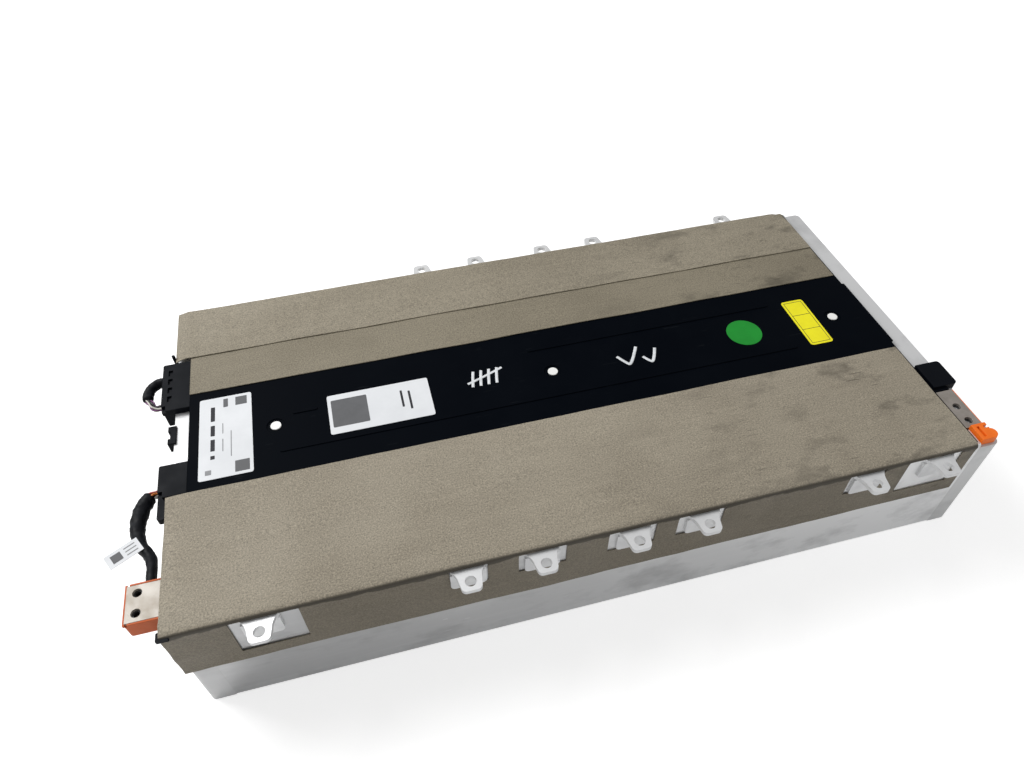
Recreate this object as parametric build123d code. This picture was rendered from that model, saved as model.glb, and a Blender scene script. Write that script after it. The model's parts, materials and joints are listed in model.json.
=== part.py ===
from build123d import *
import math
import os

# Electric-vehicle battery module: eighteen prismatic cells standing in one row between two end
# plates and two side plates, closed by a moulded cover and wrapped in woven insulating cloth.
# Millimetres.  Origin: centre of the base.  +X runs along the row to the right-hand end,
# +Y to the rear side, +Z up.

# Overall sizes
module_length = 690.0        # over the two end plates
module_width = 350.0         # over the cloth on the two long sides
module_height = 122.0        # base to the top of the cloth

# Plates
base_thickness = 4.0
side_thickness = 3.0
side_flange = 14.0           # inward flange along the top of each side plate
side_foot_radius = 2.0
end_thickness = 20.0
end_height = 115.0
end_corner_radius = 5.0
end_pocket_depth = 9.0
end_pocket_columns = 6
end_pocket_rows = 2
end_rib = 7.0                # web left between and round the pockets

# Cloth
cloth_thickness = 0.8
cloth_drop = 62.0            # how far the cloth hangs down each long side
front_cloth_depth = 122.0    # over the top, measured from the front face
rear_cloth_depth = 117.0
overlay_depth = 69.0
cloth_right_margin = 25.0    # end plate left bare at the right-hand end
inner_cloth_left_margin = 14.0

# Cells
cell_count = 18
cell_thickness = 35.0
cell_clearance = 0.5         # to each side plate
pad_thickness = 1.5          # under the cells
cell_height = 92.0
cell_corner_radius = 3.0
pole_offset = 130.0          # each terminal pole from the middle of the cell
pole_length = 24.0
pole_breadth = 26.0
pole_height = 3.0
vent_length = 46.0
vent_breadth = 16.0
vent_depth = 0.6
separator_edge = 3.0         # separator sheets stop this far inside the cell's outline

# Tray, series bars and sensing strip
tray_thickness = 2.0
tray_margin = 3.0
pole_window_clearance = 1.5
fence_height = 7.0
fence_thickness = 2.0
bar_thickness = 2.0
bar_breadth = 30.0
bar_land = 24.0
bar_hump = 4.0
strip_breadth = 40.0
strip_finger = 5.0
strip_clearance = 0.2
strip_margin = 20.0
tail_breadth = 24.0

# Centre cover
cover_thickness = 2.0
cover_left_margin = 14.0     # back from the outer face of the left end plate
cover_right_margin = 23.0
cover_side_clearance = 0.5
cover_skirt_inset = 1.0
cover_skirt_depth = 14.0
cover_lip = 2.4
cover_lip_width = 88.0
rib_breadth = 3.0
rib_height = 0.8
long_rib = (-255.0, 231.0, -28.0)
upper_rib = (-20.0, 231.0, 33.0)
short_rib = (-242.0, -220.0, 12.5)
rivet_places = ((-257.0, 1.5), (-4.0, 1.5), (286.0, 1.5))
rivet_head_radius = 4.7
rivet_head_height = 1.2
rivet_shank_radius = 2.4
rivet_clearance = 0.2
dimple_radius = 8.0
dimple_depth = 0.8
post_radius = 6.0

# Mounting ears
front_ears = (-278.5, -124.0, -65.0, 10.5, 69.5, 218.5, 285.0)
rear_ears = (-95.5, -36.5, 38.5, 97.5, 254.0)
front_windows = ((51.0, 43.0, 3.0), (30.0, 24.0, 0.5), (39.0, 24.0, 0.5), (40.0, 25.0, -1.0),
                 (40.0, 25.0, -1.5), (34.0, 24.0, -1.5), (52.0, 41.0, -3.5))
rear_window = (39.0, 24.0, 0.0)
ear_top = 117.0
ear_thickness = 4.0
ear_reach = 19.5             # from the side plate to the tip
ear_root_width = 28.5
ear_waist_width = 18.0
ear_waist = 11.0
ear_tip_width = 15.0
ear_tip_radius = 4.0
ear_leg_height = 20.0
ear_leg_thickness = 2.5
ear_bend_radius = 2.0
ear_hole_radius = 4.4
ear_hole_reach = 11.8

# High-voltage terminals, both on the front side of the ends
terminal_top = 119.0
terminal_bar_thickness = 2.5
terminal_hole_radius = 3.5
terminal_hole_spacing = 16.5
nut_flats = 10.0
nut_height = 5.0
nut_thread_radius = 2.5
riser_gap = 4.0              # riser of each bar from the end plate's inner face
left_bar_reach = 27.0        # past the outer face of the left end plate
left_bar_width = 30.0
left_terminal_y = -141.6
left_hole_reach = 19.2
left_housing_width = 33.5
left_housing_depth = 17.0
right_bar_width = 43.0
right_bar_reach = 4.6        # bar stops this far inside the right end plate's outer face
right_bar_y = -133.6
right_hole_inset = 13.1
right_terminal_y = -139.4
right_base_lip = 1.3
hook_block_width = 16.0
hook_block_height = 7.5
hook_radius = 5.0

# End mouldings
box_wall_drop = 17.0
rear_box_y = (44.0, 103.0)
front_box_y = (-52.0, -19.0)
rear_box_reach = 11.0
front_box_reach = 9.0
box_top_step = 3.0
guide_arm_length = 20.0
guide_arm_width = 6.0
guide_arm_height = 6.0
cap_y = (-108.0, -79.0)
cap_overhang = 3.5
cap_inner_margin = 22.0
cap_step = 3.0
cap_radius = 4.0
clip_y = (8.0, 28.0)
clip_reach = 5.0
clip_height = 9.0
stud_y = 111.5
stud_radius = 1.5
stud_length = 9.0
stud_lug = 4.0

# Free loops of sleeved wire at the left-hand end
front_loop_diameter = 12.0
rear_loop_diameter = 9.0
flag_length = 34.0
flag_width = 13.0
flag_thickness = 1.0

# Places worked out from the sizes above
half_length = module_length / 2
half_width = module_width / 2
side_face = half_width - cloth_thickness
cover_top = module_height - cloth_thickness
side_height = cover_top - cover_thickness
bay_half = half_length - end_thickness
side_inner = side_face - side_thickness
pad_gap = (2 * bay_half - cell_count * cell_thickness) / (cell_count + 1)
cell_pitch = cell_thickness + pad_gap
cell_width = 2 * (side_inner - cell_clearance)
cell_base = base_thickness + pad_thickness
cell_top = cell_base + cell_height
pole_top = cell_top + pole_height
tray_top = cell_top + tray_thickness
bar_underside = terminal_top - terminal_bar_thickness
cover_left = -half_length + cover_left_margin
cover_right = half_length - cover_right_margin
cloth_right = half_length - cloth_right_margin
left_hole_x = -half_length - left_hole_reach
right_hole_x = half_length - right_hole_inset


def block(x, y, z):
    """Box from its low and high corners along each axis."""
    centre = ((x[0] + x[1]) / 2, (y[0] + y[1]) / 2, (z[0] + z[1]) / 2)
    return Pos(*centre) * Box(x[1] - x[0], y[1] - y[0], z[1] - z[0])


def post(x, y, radius, low, high):
    """Upright cylinder between two heights."""
    return Pos(x, y, low) * Cylinder(radius, high - low, align=(Align.CENTER, Align.CENTER, Align.MIN))


def cell_x(index):
    """Middle of a cell along the row, counted from 0 at the left."""
    return (index - (cell_count - 1) / 2) * cell_pitch


def save(name, shape):
    """Write one sub-part, or one group of like pieces."""
    shape.label = name
    export_step(shape, f"parts/{name}.step")


def save_group(name, solids):
    save(name, Compound(children=list(solids)))


# --- frame ---------------------------------------------------------------------------------

def bottom_plate():
    return block((-bay_half, bay_half), (-side_inner, side_inner), (0, base_thickness))


def side_plate():
    """Web with an inward flange along the top, as on the front side of the module."""
    web = block((-bay_half, bay_half), (-side_face, -side_inner), (0, side_height))
    flange = block((-bay_half, bay_half), (-side_face, -side_inner + side_flange),
                   (side_height - side_thickness, side_height))
    plate = web + flange
    lower = plate.edges().filter_by(Axis.X).sort_by(Axis.Z)[:2].sort_by(Axis.Y)[0]
    upper = plate.edges().filter_by(Axis.X).sort_by(Axis.Z)[-2:].sort_by(Axis.Y)[0]
    return fillet([lower, upper], side_foot_radius)


def end_plate():
    """Cast plate for the right-hand end, ribbed on its outer face."""
    outline = Rectangle(2 * end_thickness, 2 * side_face)
    plate = extrude(Pos(bay_half, 0, 0) * outline, end_height)
    plate = fillet(plate.edges().filter_by(Axis.Z), end_corner_radius)
    plate -= block((0, bay_half), (-module_width, module_width), (-1, end_height + 1))
    column = (2 * side_face - end_rib) / end_pocket_columns
    row = (end_height - 3 * end_rib) / end_pocket_rows
    pocket = RectangleRounded(column - end_rib, row - end_rib, end_corner_radius - 1)
    face = Plane(origin=(half_length, 0, 0), x_dir=(0, 1, 0), z_dir=(1, 0, 0))
    for i in range(end_pocket_columns):
        for j in range(end_pocket_rows):
            y = (i - (end_pocket_columns - 1) / 2) * column
            z = end_rib + row * (j + 0.5)
            plate -= extrude(face * Pos(y, z, 0) * pocket, -end_pocket_depth)
    return plate


def mount_ear():
    """Bracket on the front side plate: a waisted tab with one hole, on a welded leg."""
    root = ear_root_width / 2
    waist = ear_waist_width / 2
    tip = ear_tip_width / 2
    bulge = (root + 2 * waist) / 3
    right = ThreePointArc((root, 0), (bulge, -ear_waist / 2.4), (waist, -ear_waist))
    flank = Line((waist, -ear_waist), (tip, -ear_reach))
    nose = Line((tip, -ear_reach), (-tip, -ear_reach))
    back = Line((-tip, -ear_reach), (-waist, -ear_waist))
    left = ThreePointArc((-waist, -ear_waist), (-bulge, -ear_waist / 2.4), (-root, 0))
    heel = Line((-root, 0), (root, 0))
    plan = make_face([right, flank, nose, back, left, heel])
    corners = plan.vertices().sort_by(Axis.Y)[:2]
    plan = fillet(corners, ear_tip_radius)
    tab = extrude(Pos(0, 0, ear_top - ear_thickness) * plan, ear_thickness)
    foot = ear_top - ear_thickness - ear_leg_height
    leg = block((-root, root), (-ear_leg_thickness, 0), (foot, ear_top - ear_thickness))
    leg = fillet(leg.edges().filter_by(Axis.Y).sort_by(Axis.Z)[:2], ear_tip_radius)
    ear = tab + leg
    inner = ear.edges().filter_by(Axis.X).filter_by_position(
        Axis.Y, -ear_leg_thickness - 0.01, -ear_leg_thickness + 0.01)
    inner = inner.sort_by(Axis.Z)[-1]
    ear = fillet(inner, ear_bend_radius)
    ear -= post(0, -ear_hole_reach, ear_hole_radius, foot, ear_top + 1)
    return Pos(0, -side_face, 0) * ear


# --- cells and what joins them -------------------------------------------------------------

def cell():
    body = extrude(Rectangle(cell_thickness, cell_width), cell_height)
    body = fillet(body.edges().filter_by(Axis.Z), cell_corner_radius)
    for side in (-1, 1):
        pole = RectangleRounded(pole_breadth, pole_length, 2)
        body += extrude(Pos(0, side * pole_offset, cell_height) * pole, pole_height)
    vent = SlotOverall(vent_length, vent_breadth, rotation=90)
    body -= extrude(Pos(0, 0, cell_height - vent_depth) * vent, vent_depth)
    return body


def separators():
    """Thin sheets between the cells and against both end plates."""
    half = cell_width / 2 - separator_edge
    for i in range(cell_count + 1):
        x = cell_x(i) - cell_pitch / 2
        yield block((x - pad_gap / 2, x + pad_gap / 2), (-half, half),
                    (cell_base, cell_top - separator_edge))


def thermal_pad():
    return block((-bay_half + 1, bay_half - 1), (-side_inner + 2, side_inner - 2),
                 (base_thickness, cell_base))


def busbar_tray():
    """Insulating deck on the cells, with windows for the poles and fences between the bars."""
    half = side_inner - tray_margin
    tray = block((-bay_half + 1, bay_half - 1), (-half, half), (cell_top, tray_top))
    opening = (pole_breadth + 2 * pole_window_clearance, pole_length + 2 * pole_window_clearance)
    windows = [Pos(cell_x(i), side * pole_offset, 0) * Rectangle(*opening)
               for i in range(cell_count) for side in (-1, 1)]
    vents = [Pos(cell_x(i), 0, 0) * Rectangle(vent_breadth, vent_length)
             for i in range(cell_count)]
    holes = Sketch() + windows + vents
    tray -= extrude(Pos(0, 0, cell_top - 1) * holes, tray_thickness + 2)
    fence_reach = bar_breadth / 2 + 4
    for i in range(cell_count - 1):
        side = 1 if i % 2 else -1
        x = cell_x(i) + cell_pitch / 2
        y = side * pole_offset
        tray += block((x - fence_thickness / 2, x + fence_thickness / 2),
                      (y - fence_reach, y + fence_reach), (tray_top, tray_top + fence_height))
    for x, y in rivet_places:
        tray += post(x, y, post_radius, tray_top, side_height)
        tray -= post(x, y, rivet_shank_radius + rivet_clearance, side_height - 8, side_height + 1)
    return tray


def series_bar():
    """Bar between two neighbouring poles, arched between its lands to take up movement."""
    half = (cell_pitch + bar_land) / 2
    shoulder = (cell_pitch - bar_land) / 2
    top = bar_thickness
    upper = [Line((-half, top), (-shoulder, top)),
             ThreePointArc((-shoulder, top), (0, top + bar_hump), (shoulder, top)),
             Line((shoulder, top), (half, top)), Line((half, top), (half, 0)),
             Line((half, 0), (shoulder - top / 2, 0)),
             ThreePointArc((shoulder - top / 2, 0), (0, bar_hump), (-shoulder + top / 2, 0)),
             Line((-shoulder + top / 2, 0), (-half, 0)), Line((-half, 0), (-half, top))]
    profile = Plane.XZ * make_face(upper)
    return extrude(profile, bar_breadth / 2, both=True)


def series_bars(first, side):
    for i in range(first, cell_count - 1, 2):
        x = cell_x(i) + cell_pitch / 2
        yield Pos(x, side * pole_offset, pole_top) * series_bar()


def sensing_strip():
    """Flat sensing strip down the middle, one finger under every bar, tail up to the front box."""
    z = (tray_top, pole_top)
    end = bay_half - strip_margin
    tail_y = (sum(front_box_y) / 2 - tail_breadth / 2, sum(front_box_y) / 2 + tail_breadth / 2)
    t = pole_top - tray_top
    tail_x = -bay_half + t + 1
    strip = block((-end, end), (-strip_breadth / 2, strip_breadth / 2), z)
    strip += block((tail_x, -end + strip_breadth), (tail_y[0], 0), z)
    vents = [Pos(cell_x(i), 0, 0) * Rectangle(vent_breadth, vent_length / 2)
             for i in range(cell_count)]
    strip -= extrude(Pos(0, 0, tray_top - 1) * (Sketch() + vents), pole_height)
    reach = pole_offset - pole_length / 2 - strip_clearance
    for i in range(cell_count - 1):
        side = -1 if i % 2 else 1
        x = cell_x(i) + cell_pitch / 2 - pole_breadth / 4
        y = sorted((0.4 * side * strip_breadth, side * reach))
        strip += block((x - strip_finger / 2, x + strip_finger / 2), y, z)
    for x, y in rivet_places:
        strip -= post(x, y, post_radius + 1, tray_top - 1, pole_top + 1)
    strip += block((tail_x, tail_x + t), tail_y, (tray_top, end_height + t))
    strip += block((cover_left, tail_x + t), tail_y, (end_height, end_height + t))
    return strip


# --- cover ---------------------------------------------------------------------------------

def raised_rib(ends_and_y):
    left, right, y = ends_and_y
    plan = SlotOverall(right - left, rib_breadth)
    return extrude(Pos((left + right) / 2, y, cover_top) * plan, rib_height)


def centre_cover():
    """Moulded lid over the cells: skirted inside the side plates, three dimpled fixing points."""
    half = side_face - side_foot_radius - cover_side_clearance
    lid = block((cover_left, cover_right), (-half, half), (side_height, cover_top))
    lid += block((cover_right, cover_right + cover_lip), (-cover_lip_width / 2, cover_lip_width / 2),
                 (side_height, cover_top))
    outer = side_inner - side_flange - cover_skirt_inset
    inner = outer - cover_thickness
    end = bay_half - riser_gap - terminal_bar_thickness - cover_skirt_inset - cover_thickness
    ring = Rectangle(2 * end, 2 * outer) - Rectangle(2 * (end - cover_thickness), 2 * inner)
    skirt = extrude(Pos(0, 0, side_height - cover_skirt_depth) * ring, cover_skirt_depth)
    for x in (-end, end):
        skirt -= block((x - 5, x + 5), (right_bar_y - right_bar_width / 2 - 3,
                                        right_bar_y + right_bar_width / 2 + 3), (0, side_height))
    lid += skirt
    for rib in (long_rib, upper_rib, short_rib):
        lid += raised_rib(rib)
    for x, y in rivet_places:
        lid -= post(x, y, dimple_radius, cover_top - dimple_depth, cover_top + 1)
        lid -= post(x, y, rivet_shank_radius + rivet_clearance, side_height - 1, cover_top)
    return lid


def cover_rivets():
    for x, y in rivet_places:
        seat = cover_top - dimple_depth
        head = post(x, y, rivet_head_radius, seat, seat + rivet_head_height)
        yield head + post(x, y, rivet_shank_radius, side_height - 7, seat)


# --- cloth ---------------------------------------------------------------------------------

def ear_windows(places, windows, side):
    """Cut-outs for the ears in the cloth on one long side."""
    cuts = []
    for x, (width, height, shift) in zip(places, windows):
        centre = x + shift
        y = sorted((side * (side_face - 1), side * (half_width + 5)))
        cuts.append(block((centre - width / 2, centre + width / 2), y, (ear_top - height, ear_top + 0.5)))
    return cuts


def cloth(left, right, depth, side, lift):
    """Sheet lying on the cover and folded down one long side."""
    outer = side_face + lift + cloth_thickness
    top = cover_top + lift + cloth_thickness
    low = top - cloth_drop
    inner_edge = half_width - depth
    radius = side_foot_radius
    path = Sketch() + Pos((inner_edge + outer) / 2, (low + top) / 2) * Rectangle(outer - inner_edge, top - low)
    path = fillet(path.vertices().group_by(Axis.X)[-1].sort_by(Axis.Y)[-1], radius + cloth_thickness)
    hollow = Pos((inner_edge + outer) / 2 - cloth_thickness, (low + top) / 2 - cloth_thickness) \
        * Rectangle(outer - inner_edge, top - low)
    hollow = fillet(hollow.vertices().group_by(Axis.X)[-1].sort_by(Axis.Y)[-1], radius)
    profile = Plane.YZ * (path - hollow)
    sheet = extrude(profile, right - left)
    sheet = Pos(left, 0, 0) * sheet
    if side < 0:
        sheet = mirror(sheet, Plane.XZ)
    return sheet


def wrap_front():
    sheet = cloth(-half_length, cloth_right, front_cloth_depth, -1, 0)
    for cut in ear_windows(front_ears, front_windows, -1):
        sheet -= cut
    return sheet


def wrap_rear():
    sheet = cloth(cover_left, cloth_right, rear_cloth_depth, 1, 0)
    for cut in ear_windows(rear_ears, [rear_window] * len(rear_ears), 1):
        sheet -= cut
    return sheet


def wrap_rear_overlay():
    sheet = cloth(-half_length, cloth_right, overlay_depth, 1, cloth_thickness)
    for cut in ear_windows(rear_ears, [rear_window] * len(rear_ears), 1):
        sheet -= cut
    return sheet


# --- high-voltage terminals ----------------------------------------------------------------

def terminal_bar(side, y, width, outer, hole_x):
    """Bar from an end cell's front pole, up behind the end plate and out over its top."""
    t = terminal_bar_thickness
    pole = side * cell_x(cell_count - 1)
    riser = side * (bay_half - riser_gap)
    back = riser - side * t
    low = pole_top
    inner = pole - side * bar_land / 2
    edge = [(inner, low), (riser, low), (riser, bar_underside), (outer, bar_underside),
            (outer, terminal_top), (back, terminal_top), (back, low + t), (inner, low + t)]
    profile = make_face(Polyline(*edge, close=True))
    bar = extrude(Plane.XZ * profile, width / 2, both=True)
    bar = Pos(0, y, 0) * bar
    land = bar_breadth / 2
    for low_y, high_y in ((y - width, -pole_offset - land), (-pole_offset + land, y + width)):
        cut = sorted((inner - side, back - side * 2))
        if high_y > low_y:
            bar -= block(cut, (low_y, high_y), (low - 1, terminal_top + 1))
    for shift in (-0.5, 0.5):
        hole_y = (left_terminal_y if side < 0 else right_terminal_y) + shift * terminal_hole_spacing
        bar -= post(hole_x, hole_y, terminal_hole_radius, bar_underside - 1, terminal_top + 1)
    return bar


def nut_well(x, y):
    """Hexagonal seat for a captive nut, with room for the screw's end below it."""
    hexagon = RegularPolygon(nut_flats / 2 + 0.1, 6, major_radius=False)
    seat = extrude(Pos(x, y, bar_underside - nut_height) * hexagon, nut_height)
    return seat


def nut_places():
    for shift in (-0.5, 0.5):
        yield left_hole_x, left_terminal_y + shift * terminal_hole_spacing
        yield right_hole_x, right_terminal_y + shift * terminal_hole_spacing


def terminal_nuts():
    for x, y in nut_places():
        hexagon = RegularPolygon(nut_flats / 2, 6, major_radius=False) - Circle(nut_thread_radius)
        height = nut_height if x < 0 else bar_underside - end_height
        yield extrude(Pos(x, y, bar_underside - height) * hexagon, height)


def terminal_housing_left():
    """Moulded housing hung on the left end plate, with a lip round the bar and two nut wells."""
    y = (left_terminal_y - left_housing_width / 2, left_terminal_y + left_housing_width / 2)
    outer = -half_length - left_bar_reach - 1
    tub = block((outer, -half_length), y, (terminal_top - left_housing_depth, bar_underside))
    tub = fillet(tub.edges().filter_by(Axis.Z).sort_by(Axis.X)[:2], 3)
    tub = fillet(tub.edges().sort_by(Axis.Z)[:1], 1)
    foot = block((-half_length, -half_length + 8), y, (end_height, bar_underside))
    lips = [block((outer + 3, -half_length), (y[0], y[0] + 1.5), (bar_underside, terminal_top)),
            block((outer + 3, -half_length), (y[1] - 1.5, y[1]), (bar_underside, terminal_top))]
    housing = tub + foot + lips
    for x, nut_y in nut_places():
        if x < 0:
            housing -= nut_well(x, nut_y)
            housing -= post(x, nut_y, terminal_hole_radius, bar_underside - 11, bar_underside)
    for z in (4.5, 9.0):
        low = terminal_top - left_housing_depth + z
        housing -= block((outer - 1, outer + 1), (y[0] + 5, y[1] - 5), (low - 0.8, low + 0.8))
    return housing


def terminal_housing_right():
    """Base under the right-hand bar, with a slotted and hooked finger guard in front of it."""
    y_bar = (right_bar_y - right_bar_width / 2, right_bar_y + right_bar_width / 2)
    outer = half_length - right_bar_reach
    base = block((bay_half, outer + right_base_lip), y_bar, (end_height, bar_underside))
    rim = block((outer, outer + right_base_lip), (y_bar[0] - 2, y_bar[1]), (end_height, terminal_top - 0.5))
    y = (y_bar[0] - 1 - hook_block_width, y_bar[0])
    top = end_height + hook_block_height
    guard = block((bay_half + 1.5, outer), y, (end_height, top))
    guard += post(outer - 1.5, y[0] + hook_radius + 0.4, hook_radius, end_height, top)
    guard -= block((bay_half + 5, bay_half + 7.5), (y[0] + 3, y[1] - 3), (top - 5, top + 1))
    guard -= block((outer - 4, outer + 5), (y[1] - 5.5, y[1] - 3), (end_height + 2, top + 1))
    housing = base + rim + guard
    for x, nut_y in nut_places():
        if x > 0:
            housing -= nut_well(x, nut_y)
    return housing


# --- end mouldings -------------------------------------------------------------------------

def connector_box(span, reach):
    """Black housing over the left end plate, with a lower body outside it."""
    left = -half_length - reach
    top = cover_top + 0.3
    upper = block((left, cover_left), span, (end_height, top))
    lower = block((left, -half_length), (span[0] + 3, span[1] - 3), (end_height - box_wall_drop, end_height))
    box = upper + lower
    corners = box.edges().filter_by(Axis.Z).sort_by(Axis.X)[:4]
    box = fillet(corners, 1.5)
    step = block((left - 1, left + 4), (span[0] - 1, span[0] + box_top_step * 2), (top - box_top_step, top + 1))
    return box - step


def connector_box_rear():
    box = connector_box(rear_box_y, rear_box_reach)
    left = -half_length - rear_box_reach
    for i in range(4):
        y = rear_box_y[0] + 14 + i * 11
        box -= block((left + 5, left + 9), (y - 3.5, y + 3.5), (cover_top - 1.5, cover_top + 1))
    return box


def connector_box_front():
    box = connector_box(front_box_y, front_box_reach)
    left = -half_length - front_box_reach
    arm = block((left, left + guide_arm_width), (front_box_y[0] - guide_arm_length, front_box_y[0] + 4),
                (end_height - 2, end_height - 2 + guide_arm_height))
    arm = fillet(arm.edges().filter_by(Axis.Z).sort_by(Axis.Y)[:2], 2)
    return box + arm


def right_end_cap():
    """Cap over the right end plate, rounded outside and stepped towards the terminal."""
    x = (half_length - cap_inner_margin + 1.5, half_length + cap_overhang)
    top = cover_top + 0.3
    cap = block(x, cap_y, (end_height, top))
    cap += block((half_length, x[1]), cap_y, (end_height - 10, end_height))
    cap += block((x[0], half_length - 6), (cap_y[0] - cap_step, cap_y[0]), (end_height, top - cap_step))
    outer = cap.edges().filter_by(Axis.Z).sort_by(Axis.X)[-2:]
    return fillet(outer, min(cap_radius, cap_overhang - 0.2))


def end_clip():
    """Small retaining clip over the edge of the left end plate."""
    x = (-half_length - clip_reach, -half_length + 2)
    clip = block(x, clip_y, (end_height, end_height + 2))
    clip += block((x[0], -half_length), clip_y, (end_height - clip_height, end_height))
    return clip - block((x[0] - 1, x[0] + 2), (clip_y[0] + 6, clip_y[1] - 6), (end_height - 5, end_height + 3))


def edge_stud():
    """Short plain stud on a lug, on the outer face of the left end plate."""
    lug = block((-half_length - stud_lug, -half_length), (stud_y - stud_lug, stud_y + stud_lug),
                (end_height - 3 * stud_lug, end_height - stud_lug))
    x = -half_length - stud_lug / 2
    return lug + post(x, stud_y, stud_radius, end_height - stud_lug, end_height + stud_length)


# --- free loops ----------------------------------------------------------------------------

def loop(points, diameter):
    """Sleeved loop: straight runs joined by arcs as large as the runs allow."""
    spots = [Vector(*p) for p in points]
    radii = []
    for a, b, c in zip(spots, spots[1:], spots[2:]):
        turn = (b - a).get_angle(c - b)
        shorter = min((b - a).length, (c - b).length)
        radii.append(0.45 * shorter / math.tan(math.radians(turn / 2)))
    print("loop radii", [round(r, 1) for r in radii])
    route = FilletPolyline(*spots, radius=radii)
    section = Plane(origin=spots[0], z_dir=spots[1] - spots[0]) * Circle(diameter / 2)
    tube = sweep(section, path=route)
    print("loop length", round(route.length, 1), "volume ratio",
          round(tube.volume / (math.pi * diameter ** 2 / 4 * route.length), 4))
    return tube


def front_loop_points():
    """From the front box's outer face, out and back to the side of the left terminal housing."""
    face = -half_length - front_box_reach
    side = left_terminal_y + left_housing_width / 2
    return [(face, -36.0, 107.0), (face - 9, -36.0, 107.0), (face - 18, -44.0, 106.0),
            (face - 23, -57.0, 105.0), (face - 23, -71.0, 105.0), (face - 18, -84.0, 105.5),
            (face - 10, -95.0, 106.5), (face - 5, -107.0, 108.0), (face - 5, side, 108.0)]


def rear_loop_points():
    """Out of the rear box's outer face near its rear end and back into it nearer the middle."""
    face = -half_length - rear_box_reach
    return [(face, 94.0, 108.0), (face - 8, 94.0, 108.0), (face - 15, 88.0, 107.0),
            (face - 17, 78.0, 106.5), (face - 15, 68.0, 106.5), (face - 8, 60.0, 107.5),
            (face, 60.0, 107.5)]


def harness_flag():
    """Paper flag folded round the front loop."""
    x, y, z = front_loop_points()[3]
    flag = Box(flag_length, flag_thickness, flag_width)
    radius = front_loop_diameter / 2
    return Pos(x - radius - flag_length / 2, y - 2, z) * flag


os.makedirs("parts", exist_ok=True)

save("bottom_plate", bottom_plate())
save("side_plate_front", side_plate())
save("side_plate_rear", mirror(side_plate(), Plane.XZ))
save("end_plate_right", end_plate())
save("end_plate_left", mirror(end_plate(), Plane.YZ))
for number, x in enumerate(front_ears, 1):
    save(f"mount_ear_front_{number}", Pos(x, 0, 0) * mount_ear())
for number, x in enumerate(rear_ears, 1):
    save(f"mount_ear_rear_{number}", Pos(x, 0, 0) * mirror(mount_ear(), Plane.XZ))
for i in range(cell_count):
    save(f"cell_{i + 1:02d}", Pos(cell_x(i), 0, cell_base) * cell())
save_group("cell_separators", separators())
save("thermal_pad", thermal_pad())
save("busbar_tray", busbar_tray())
save_group("busbars_front", series_bars(1, -1))
save_group("busbars_rear", series_bars(0, 1))
save("sensing_strip", sensing_strip())
save("centre_cover", centre_cover())
save_group("cover_rivets", cover_rivets())
save("wrap_front", wrap_front())
save("wrap_rear", wrap_rear())
save("wrap_rear_overlay", wrap_rear_overlay())
save("terminal_bar_left", terminal_bar(-1, left_terminal_y, left_bar_width,
                                       -half_length - left_bar_reach, left_hole_x))
save("terminal_bar_right", terminal_bar(1, right_bar_y, right_bar_width,
                                        half_length - right_bar_reach, right_hole_x))
save("terminal_housing_left", terminal_housing_left())
save("terminal_housing_right", terminal_housing_right())
save_group("terminal_nuts", terminal_nuts())
save("connector_box_rear", connector_box_rear())
save("connector_box_front", connector_box_front())
save("right_end_cap", right_end_cap())
save("end_clip", end_clip())
save("edge_stud", edge_stud())
save("harness_front", loop(front_loop_points(), front_loop_diameter))
save("harness_rear", loop(rear_loop_points(), rear_loop_diameter))
save("harness_flag", harness_flag())
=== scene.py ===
import json
import math
import bpy
import bmesh
from mathutils import Matrix, Vector, noise

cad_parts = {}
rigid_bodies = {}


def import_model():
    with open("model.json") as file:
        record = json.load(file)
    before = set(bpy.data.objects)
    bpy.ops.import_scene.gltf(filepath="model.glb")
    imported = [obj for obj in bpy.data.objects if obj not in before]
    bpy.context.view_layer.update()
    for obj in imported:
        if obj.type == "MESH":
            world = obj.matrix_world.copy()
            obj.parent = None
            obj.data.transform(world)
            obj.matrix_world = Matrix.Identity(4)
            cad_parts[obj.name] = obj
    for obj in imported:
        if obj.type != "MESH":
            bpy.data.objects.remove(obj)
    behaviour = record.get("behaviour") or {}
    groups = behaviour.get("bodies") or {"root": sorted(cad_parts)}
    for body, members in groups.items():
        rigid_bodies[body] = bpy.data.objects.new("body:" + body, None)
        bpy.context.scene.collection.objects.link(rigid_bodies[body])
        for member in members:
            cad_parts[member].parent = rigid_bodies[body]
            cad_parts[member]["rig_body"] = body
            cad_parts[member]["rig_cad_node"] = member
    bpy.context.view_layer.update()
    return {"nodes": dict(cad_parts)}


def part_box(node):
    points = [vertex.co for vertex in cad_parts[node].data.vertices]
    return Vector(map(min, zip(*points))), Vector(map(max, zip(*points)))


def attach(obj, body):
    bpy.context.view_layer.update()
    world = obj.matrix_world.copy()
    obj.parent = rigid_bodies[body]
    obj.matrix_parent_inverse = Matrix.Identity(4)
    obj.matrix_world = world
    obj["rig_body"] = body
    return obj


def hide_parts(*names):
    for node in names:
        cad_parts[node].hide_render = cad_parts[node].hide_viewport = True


MM = 0.001
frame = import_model()
nodes = frame["nodes"]


# --- places read from the frame --------------------------------------------------------------

RIB_HEIGHT = 0.8 * MM
COVER_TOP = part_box("centre_cover")[1].z - RIB_HEIGHT
FRONT_LOW, FRONT_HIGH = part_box("wrap_front")
REAR_LOW, REAR_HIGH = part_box("wrap_rear")
OVERLAY_LOW, OVERLAY_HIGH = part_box("wrap_rear_overlay")

# --- sizes and steps of the dressed pieces -----------------------------------------------------

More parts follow.
